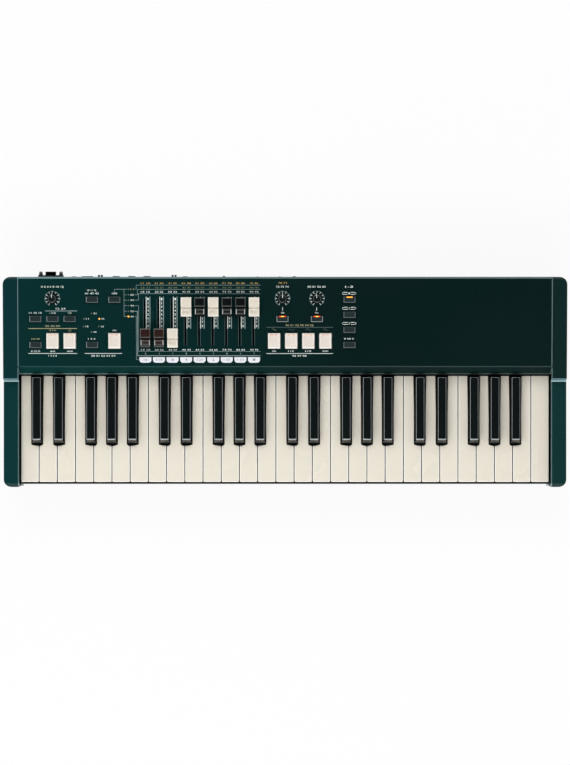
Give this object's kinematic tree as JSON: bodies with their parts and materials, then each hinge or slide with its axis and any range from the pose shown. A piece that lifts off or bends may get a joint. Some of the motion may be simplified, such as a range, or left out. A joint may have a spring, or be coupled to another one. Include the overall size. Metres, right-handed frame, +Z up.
{
  "type": "portable organ",
  "caption": "Compact drawbar organ: slab case with square end blocks, sloping control panel with drawbars, dials and push buttons, full-size waterfall keys.",
  "frame": {"origin": "middle of the bounding box in plan, at the surface that the feet stand on", "axes": "+X to the player's right along the keys, +Y to the rear, +Z up"},
  "size_m": [0.726, 0.28, 0.0936],
  "materials": {
    "green_paint": "satin green paint on a folded sheet",
    "green_moulding": "satin green moulding",
    "ivory_plastic": "polished ivory moulding",
    "black_plastic": "polished black moulding",
    "brown_plastic": "polished dark brown moulding",
    "charcoal_rubber": "matt dark grey rubber",
    "zinc_steel": "zinc-plated folded sheet",
    "circuit_board": "green glass-fibre board",
    "red_felt": "pressed wool felt",
    "black_rubber": "matt black rubber",
    "black_case": "fine-grained black moulding"
  },
  "bodies": {
    "case": {"bottom_case": "black_case", "top_panel": "green_paint", "cheek_left": "green_moulding", "cheek_right": "green_moulding", "key_chassis": "zinc_steel", "key_felt": "red_felt", "contact_board": "circuit_board", "panel_board": "circuit_board", "drawbar_guide": "zinc_steel", "jack_board": "circuit_board", "speaker_socket": "black_plastic", "foot_front_left": "black_rubber", "foot_front_right": "black_rubber", "foot_rear_left": "black_rubber", "foot_rear_right": "black_rubber"},
    "white_keys_c_e_g_b_1": {"white_keys_c_e_g_b_1": "ivory_plastic"},
    "white_keys_d_f_a_1": {"white_keys_d_f_a_1": "ivory_plastic"},
    "black_keys_1": {"black_keys_1": "black_plastic"},
    "white_keys_c_e_g_b_2": {"white_keys_c_e_g_b_2": "ivory_plastic"},
    "white_keys_d_f_a_2": {"white_keys_d_f_a_2": "ivory_plastic"},
    "black_keys_2": {"black_keys_2": "black_plastic"},
    "white_keys_c_e_g_b_3": {"white_keys_c_e_g_b_3": "ivory_plastic"},
    "white_keys_d_f_a_3": {"white_keys_d_f_a_3": "ivory_plastic"},
    "black_keys_3": {"black_keys_3": "black_plastic"},
    "white_keys_c_e_g_b_4": {"white_keys_c_e_g_b_4": "ivory_plastic"},
    "white_keys_d_f_a_4": {"white_keys_d_f_a_4": "ivory_plastic"},
    "black_keys_4": {"black_keys_4": "black_plastic"},
    "drawbar_1": {"drawbar_1": "brown_plastic"},
    "drawbar_2": {"drawbar_2": "brown_plastic"},
    "drawbar_3": {"drawbar_3": "ivory_plastic"},
    "drawbar_4": {"drawbar_4": "ivory_plastic"},
    "drawbar_5": {"drawbar_5": "black_plastic"},
    "drawbar_6": {"drawbar_6": "ivory_plastic"},
    "drawbar_7": {"drawbar_7": "black_plastic"},
    "drawbar_8": {"drawbar_8": "black_plastic"},
    "drawbar_9": {"drawbar_9": "ivory_plastic"},
    "dial_volume": {"dial_volume": "black_plastic"},
    "dial_drive": {"dial_drive": "black_plastic"},
    "dial_echo": {"dial_echo": "black_plastic"},
    "button_transpose": {"button_transpose": "charcoal_rubber"},
    "button_octave_down": {"button_octave_down": "charcoal_rubber"},
    "button_octave_up": {"button_octave_up": "charcoal_rubber"},
    "button_bypass": {"button_bypass": "charcoal_rubber"},
    "button_bank": {"button_bank": "charcoal_rubber"},
    "button_voice": {"button_voice": "charcoal_rubber"},
    "button_mode": {"button_mode": "charcoal_rubber"},
    "button_drive": {"button_drive": "charcoal_rubber"},
    "button_echo": {"button_echo": "charcoal_rubber"},
    "button_preset_1": {"button_preset_1": "charcoal_rubber"},
    "button_preset_2": {"button_preset_2": "charcoal_rubber"},
    "button_preset_3": {"button_preset_3": "charcoal_rubber"},
    "button_manual": {"button_manual": "charcoal_rubber"},
    "tab_stop": {"tab_stop": "ivory_plastic"},
    "tab_fast": {"tab_fast": "ivory_plastic"},
    "tab_vibrato": {"tab_vibrato": "ivory_plastic"},
    "tab_percussion": {"tab_percussion": "ivory_plastic"},
    "tab_soft": {"tab_soft": "ivory_plastic"},
    "tab_short": {"tab_short": "ivory_plastic"},
    "tab_third": {"tab_third": "ivory_plastic"},
    "power_switch": {"power_switch": "black_plastic"}
  },
  "joints": [
    {"name": "white_keys_c_e_g_b_1_hinge", "type": "hinge", "parent": "case", "child": "white_keys_c_e_g_b_1", "pos_m": [0, 0.0565, 0.0485], "axis": [1, 0, 0], "range_deg": [0, 3], "stiffness_Nm_per_rad": 2, "springref_deg": -9.17},
    {"name": "white_keys_d_f_a_1_hinge", "type": "hinge", "parent": "case", "child": "white_keys_d_f_a_1", "pos_m": [0, 0.0565, 0.0485], "axis": [1, 0, 0], "range_deg": [0, 3], "stiffness_Nm_per_rad": 2, "springref_deg": -9.17},
    {"name": "black_keys_1_hinge", "type": "hinge", "parent": "case", "child": "black_keys_1", "pos_m": [0, 0.0565, 0.0485], "axis": [1, 0, 0], "range_deg": [0, 3], "stiffness_Nm_per_rad": 2, "springref_deg": -9.17},
    {"name": "white_keys_c_e_g_b_2_hinge", "type": "hinge", "parent": "case", "child": "white_keys_c_e_g_b_2", "pos_m": [0, 0.0565, 0.0485], "axis": [1, 0, 0], "range_deg": [0, 3], "stiffness_Nm_per_rad": 2, "springref_deg": -9.17},
    {"name": "white_keys_d_f_a_2_hinge", "type": "hinge", "parent": "case", "child": "white_keys_d_f_a_2", "pos_m": [0, 0.0565, 0.0485], "axis": [1, 0, 0], "range_deg": [0, 3], "stiffness_Nm_per_rad": 2, "springref_deg": -9.17},
    {"name": "black_keys_2_hinge", "type": "hinge", "parent": "case", "child": "black_keys_2", "pos_m": [0, 0.0565, 0.0485], "axis": [1, 0, 0], "range_deg": [0, 3], "stiffness_Nm_per_rad": 2, "springref_deg": -9.17},
    {"name": "white_keys_c_e_g_b_3_hinge", "type": "hinge", "parent": "case", "child": "white_keys_c_e_g_b_3", "pos_m": [0, 0.0565, 0.0485], "axis": [1, 0, 0], "range_deg": [0, 3], "stiffness_Nm_per_rad": 2, "springref_deg": -9.17},
    {"name": "white_keys_d_f_a_3_hinge", "type": "hinge", "parent": "case", "child": "white_keys_d_f_a_3", "pos_m": [0, 0.0565, 0.0485], "axis": [1, 0, 0], "range_deg": [0, 3], "stiffness_Nm_per_rad": 2, "springref_deg": -9.17},
    {"name": "black_keys_3_hinge", "type": "hinge", "parent": "case", "child": "black_keys_3", "pos_m": [0, 0.0565, 0.0485], "axis": [1, 0, 0], "range_deg": [0, 3], "stiffness_Nm_per_rad": 2, "springref_deg": -9.17},
    {"name": "white_keys_c_e_g_b_4_hinge", "type": "hinge", "parent": "case", "child": "white_keys_c_e_g_b_4", "pos_m": [0, 0.0565, 0.0485], "axis": [1, 0, 0], "range_deg": [0, 3], "stiffness_Nm_per_rad": 2, "springref_deg": -9.17},
    {"name": "white_keys_d_f_a_4_hinge", "type": "hinge", "parent": "case", "child": "white_keys_d_f_a_4", "pos_m": [0, 0.0565, 0.0485], "axis": [1, 0, 0], "range_deg": [0, 3], "stiffness_Nm_per_rad": 2, "springref_deg": -9.17},
    {"name": "black_keys_4_hinge", "type": "hinge", "parent": "case", "child": "black_keys_4", "pos_m": [0, 0.0565, 0.0485], "axis": [1, 0, 0], "range_deg": [0, 3], "stiffness_Nm_per_rad": 2, "springref_deg": -9.17},
    {"name": "drawbar_1_slide", "type": "slide", "parent": "case", "child": "drawbar_1", "axis": [0, -0.9984, -0.0558], "range_m": [-0.04, 0]},
    {"name": "drawbar_2_slide", "type": "slide", "parent": "case", "child": "drawbar_2", "axis": [0, -0.9984, -0.0558], "range_m": [-0.04, 0]},
    {"name": "drawbar_3_slide", "type": "slide", "parent": "case", "child": "drawbar_3", "axis": [0, -0.9984, -0.0558], "range_m": [-0.04, 0]},
    {"name": "drawbar_4_slide", "type": "slide", "parent": "case", "child": "drawbar_4", "axis": [0, -0.9984, -0.0558], "range_m": [0, 0.04]},
    {"name": "drawbar_5_slide", "type": "slide", "parent": "case", "child": "drawbar_5", "axis": [0, -0.9984, -0.0558], "range_m": [0, 0.04]},
    {"name": "drawbar_6_slide", "type": "slide", "parent": "case", "child": "drawbar_6", "axis": [0, -0.9984, -0.0558], "range_m": [0, 0.04]},
    {"name": "drawbar_7_slide", "type": "slide", "parent": "case", "child": "drawbar_7", "axis": [0, -0.9984, -0.0558], "range_m": [0, 0.04]},
    {"name": "drawbar_8_slide", "type": "slide", "parent": "case", "child": "drawbar_8", "axis": [0, -0.9984, -0.0558], "range_m": [0, 0.04]},
    {"name": "drawbar_9_slide", "type": "slide", "parent": "case", "child": "drawbar_9", "axis": [0, -0.9984, -0.0558], "range_m": [0, 0.04]},
    {"name": "dial_volume_turn", "type": "hinge", "parent": "case", "child": "dial_volume", "pos_m": [-0.299, 0.10306, 0.08237], "axis": [0, -0.0558, 0.9984], "range_deg": [-150, 150]},
    {"name": "dial_drive_turn", "type": "hinge", "parent": "case", "child": "dial_drive", "pos_m": [-0.0032, 0.10306, 0.08237], "axis": [0, -0.0558, 0.9984], "range_deg": [-150, 150]},
    {"name": "dial_echo_turn", "type": "hinge", "parent": "case", "child": "dial_echo", "pos_m": [0.0411, 0.10306, 0.08237], "axis": [0, -0.0558, 0.9984], "range_deg": [-150, 150]},
    {"name": "button_transpose_press", "type": "slide", "parent": "case", "child": "button_transpose", "axis": [0, 0.0558, -0.9984], "range_m": [0, 0.0015], "stiffness_N_per_m": 200, "springref_m": -0.003},
    {"name": "button_octave_down_press", "type": "slide", "parent": "case", "child": "button_octave_down", "axis": [0, 0.0558, -0.9984], "range_m": [0, 0.0015], "stiffness_N_per_m": 200, "springref_m": -0.003},
    {"name": "button_octave_up_press", "type": "slide", "parent": "case", "child": "button_octave_up", "axis": [0, 0.0558, -0.9984], "range_m": [0, 0.0015], "stiffness_N_per_m": 200, "springref_m": -0.003},
    {"name": "button_bypass_press", "type": "slide", "parent": "case", "child": "button_bypass", "axis": [0, 0.0558, -0.9984], "range_m": [0, 0.0015], "stiffness_N_per_m": 200, "springref_m": -0.003},
    {"name": "button_bank_press", "type": "slide", "parent": "case", "child": "button_bank", "axis": [0, 0.0558, -0.9984], "range_m": [0, 0.0015], "stiffness_N_per_m": 200, "springref_m": -0.003},
    {"name": "button_voice_press", "type": "slide", "parent": "case", "child": "button_voice", "axis": [0, 0.0558, -0.9984], "range_m": [0, 0.0015], "stiffness_N_per_m": 200, "springref_m": -0.003},
    {"name": "button_mode_press", "type": "slide", "parent": "case", "child": "button_mode", "axis": [0, 0.0558, -0.9984], "range_m": [0, 0.0015], "stiffness_N_per_m": 200, "springref_m": -0.003},
    {"name": "button_drive_press", "type": "slide", "parent": "case", "child": "button_drive", "axis": [0, 0.0558, -0.9984], "range_m": [0, 0.0015], "stiffness_N_per_m": 200, "springref_m": -0.003},
    {"name": "button_echo_press", "type": "slide", "parent": "case", "child": "button_echo", "axis": [0, 0.0558, -0.9984], "range_m": [0, 0.0015], "stiffness_N_per_m": 200, "springref_m": -0.003},
    {"name": "button_preset_1_press", "type": "slide", "parent": "case", "child": "button_preset_1", "axis": [0, 0.0558, -0.9984], "range_m": [0, 0.0015], "stiffness_N_per_m": 200, "springref_m": -0.003},
    {"name": "button_preset_2_press", "type": "slide", "parent": "case", "child": "button_preset_2", "axis": [0, 0.0558, -0.9984], "range_m": [0, 0.0015], "stiffness_N_per_m": 200, "springref_m": -0.003},
    {"name": "button_preset_3_press", "type": "slide", "parent": "case", "child": "button_preset_3", "axis": [0, 0.0558, -0.9984], "range_m": [0, 0.0015], "stiffness_N_per_m": 200, "springref_m": -0.003},
    {"name": "button_manual_press", "type": "slide", "parent": "case", "child": "button_manual", "axis": [0, 0.0558, -0.9984], "range_m": [0, 0.0015], "stiffness_N_per_m": 200, "springref_m": -0.003},
    {"name": "tab_stop_press", "type": "slide", "parent": "case", "child": "tab_stop", "axis": [0, 0.0558, -0.9984], "range_m": [0, 0.0015], "stiffness_N_per_m": 200, "springref_m": -0.003},
    {"name": "tab_fast_press", "type": "slide", "parent": "case", "child": "tab_fast", "axis": [0, 0.0558, -0.9984], "range_m": [0, 0.0015], "stiffness_N_per_m": 200, "springref_m": -0.003},
    {"name": "tab_vibrato_press", "type": "slide", "parent": "case", "child": "tab_vibrato", "axis": [0, 0.0558, -0.9984], "range_m": [0, 0.0015], "stiffness_N_per_m": 200, "springref_m": -0.003},
    {"name": "tab_percussion_press", "type": "slide", "parent": "case", "child": "tab_percussion", "axis": [0, 0.0558, -0.9984], "range_m": [0, 0.0015], "stiffness_N_per_m": 200, "springref_m": -0.003},
    {"name": "tab_soft_press", "type": "slide", "parent": "case", "child": "tab_soft", "axis": [0, 0.0558, -0.9984], "range_m": [0, 0.0015], "stiffness_N_per_m": 200, "springref_m": -0.003},
    {"name": "tab_short_press", "type": "slide", "parent": "case", "child": "tab_short", "axis": [0, 0.0558, -0.9984], "range_m": [0, 0.0015], "stiffness_N_per_m": 200, "springref_m": -0.003},
    {"name": "tab_third_press", "type": "slide", "parent": "case", "child": "tab_third", "axis": [0, 0.0558, -0.9984], "range_m": [0, 0.0015], "stiffness_N_per_m": 200, "springref_m": -0.003},
    {"name": "power_switch_hinge", "type": "hinge", "parent": "case", "child": "power_switch", "pos_m": [-0.2563, 0.1272, 0.045], "axis": [1, 0, 0], "range_deg": [-14, 0]}
  ]
}
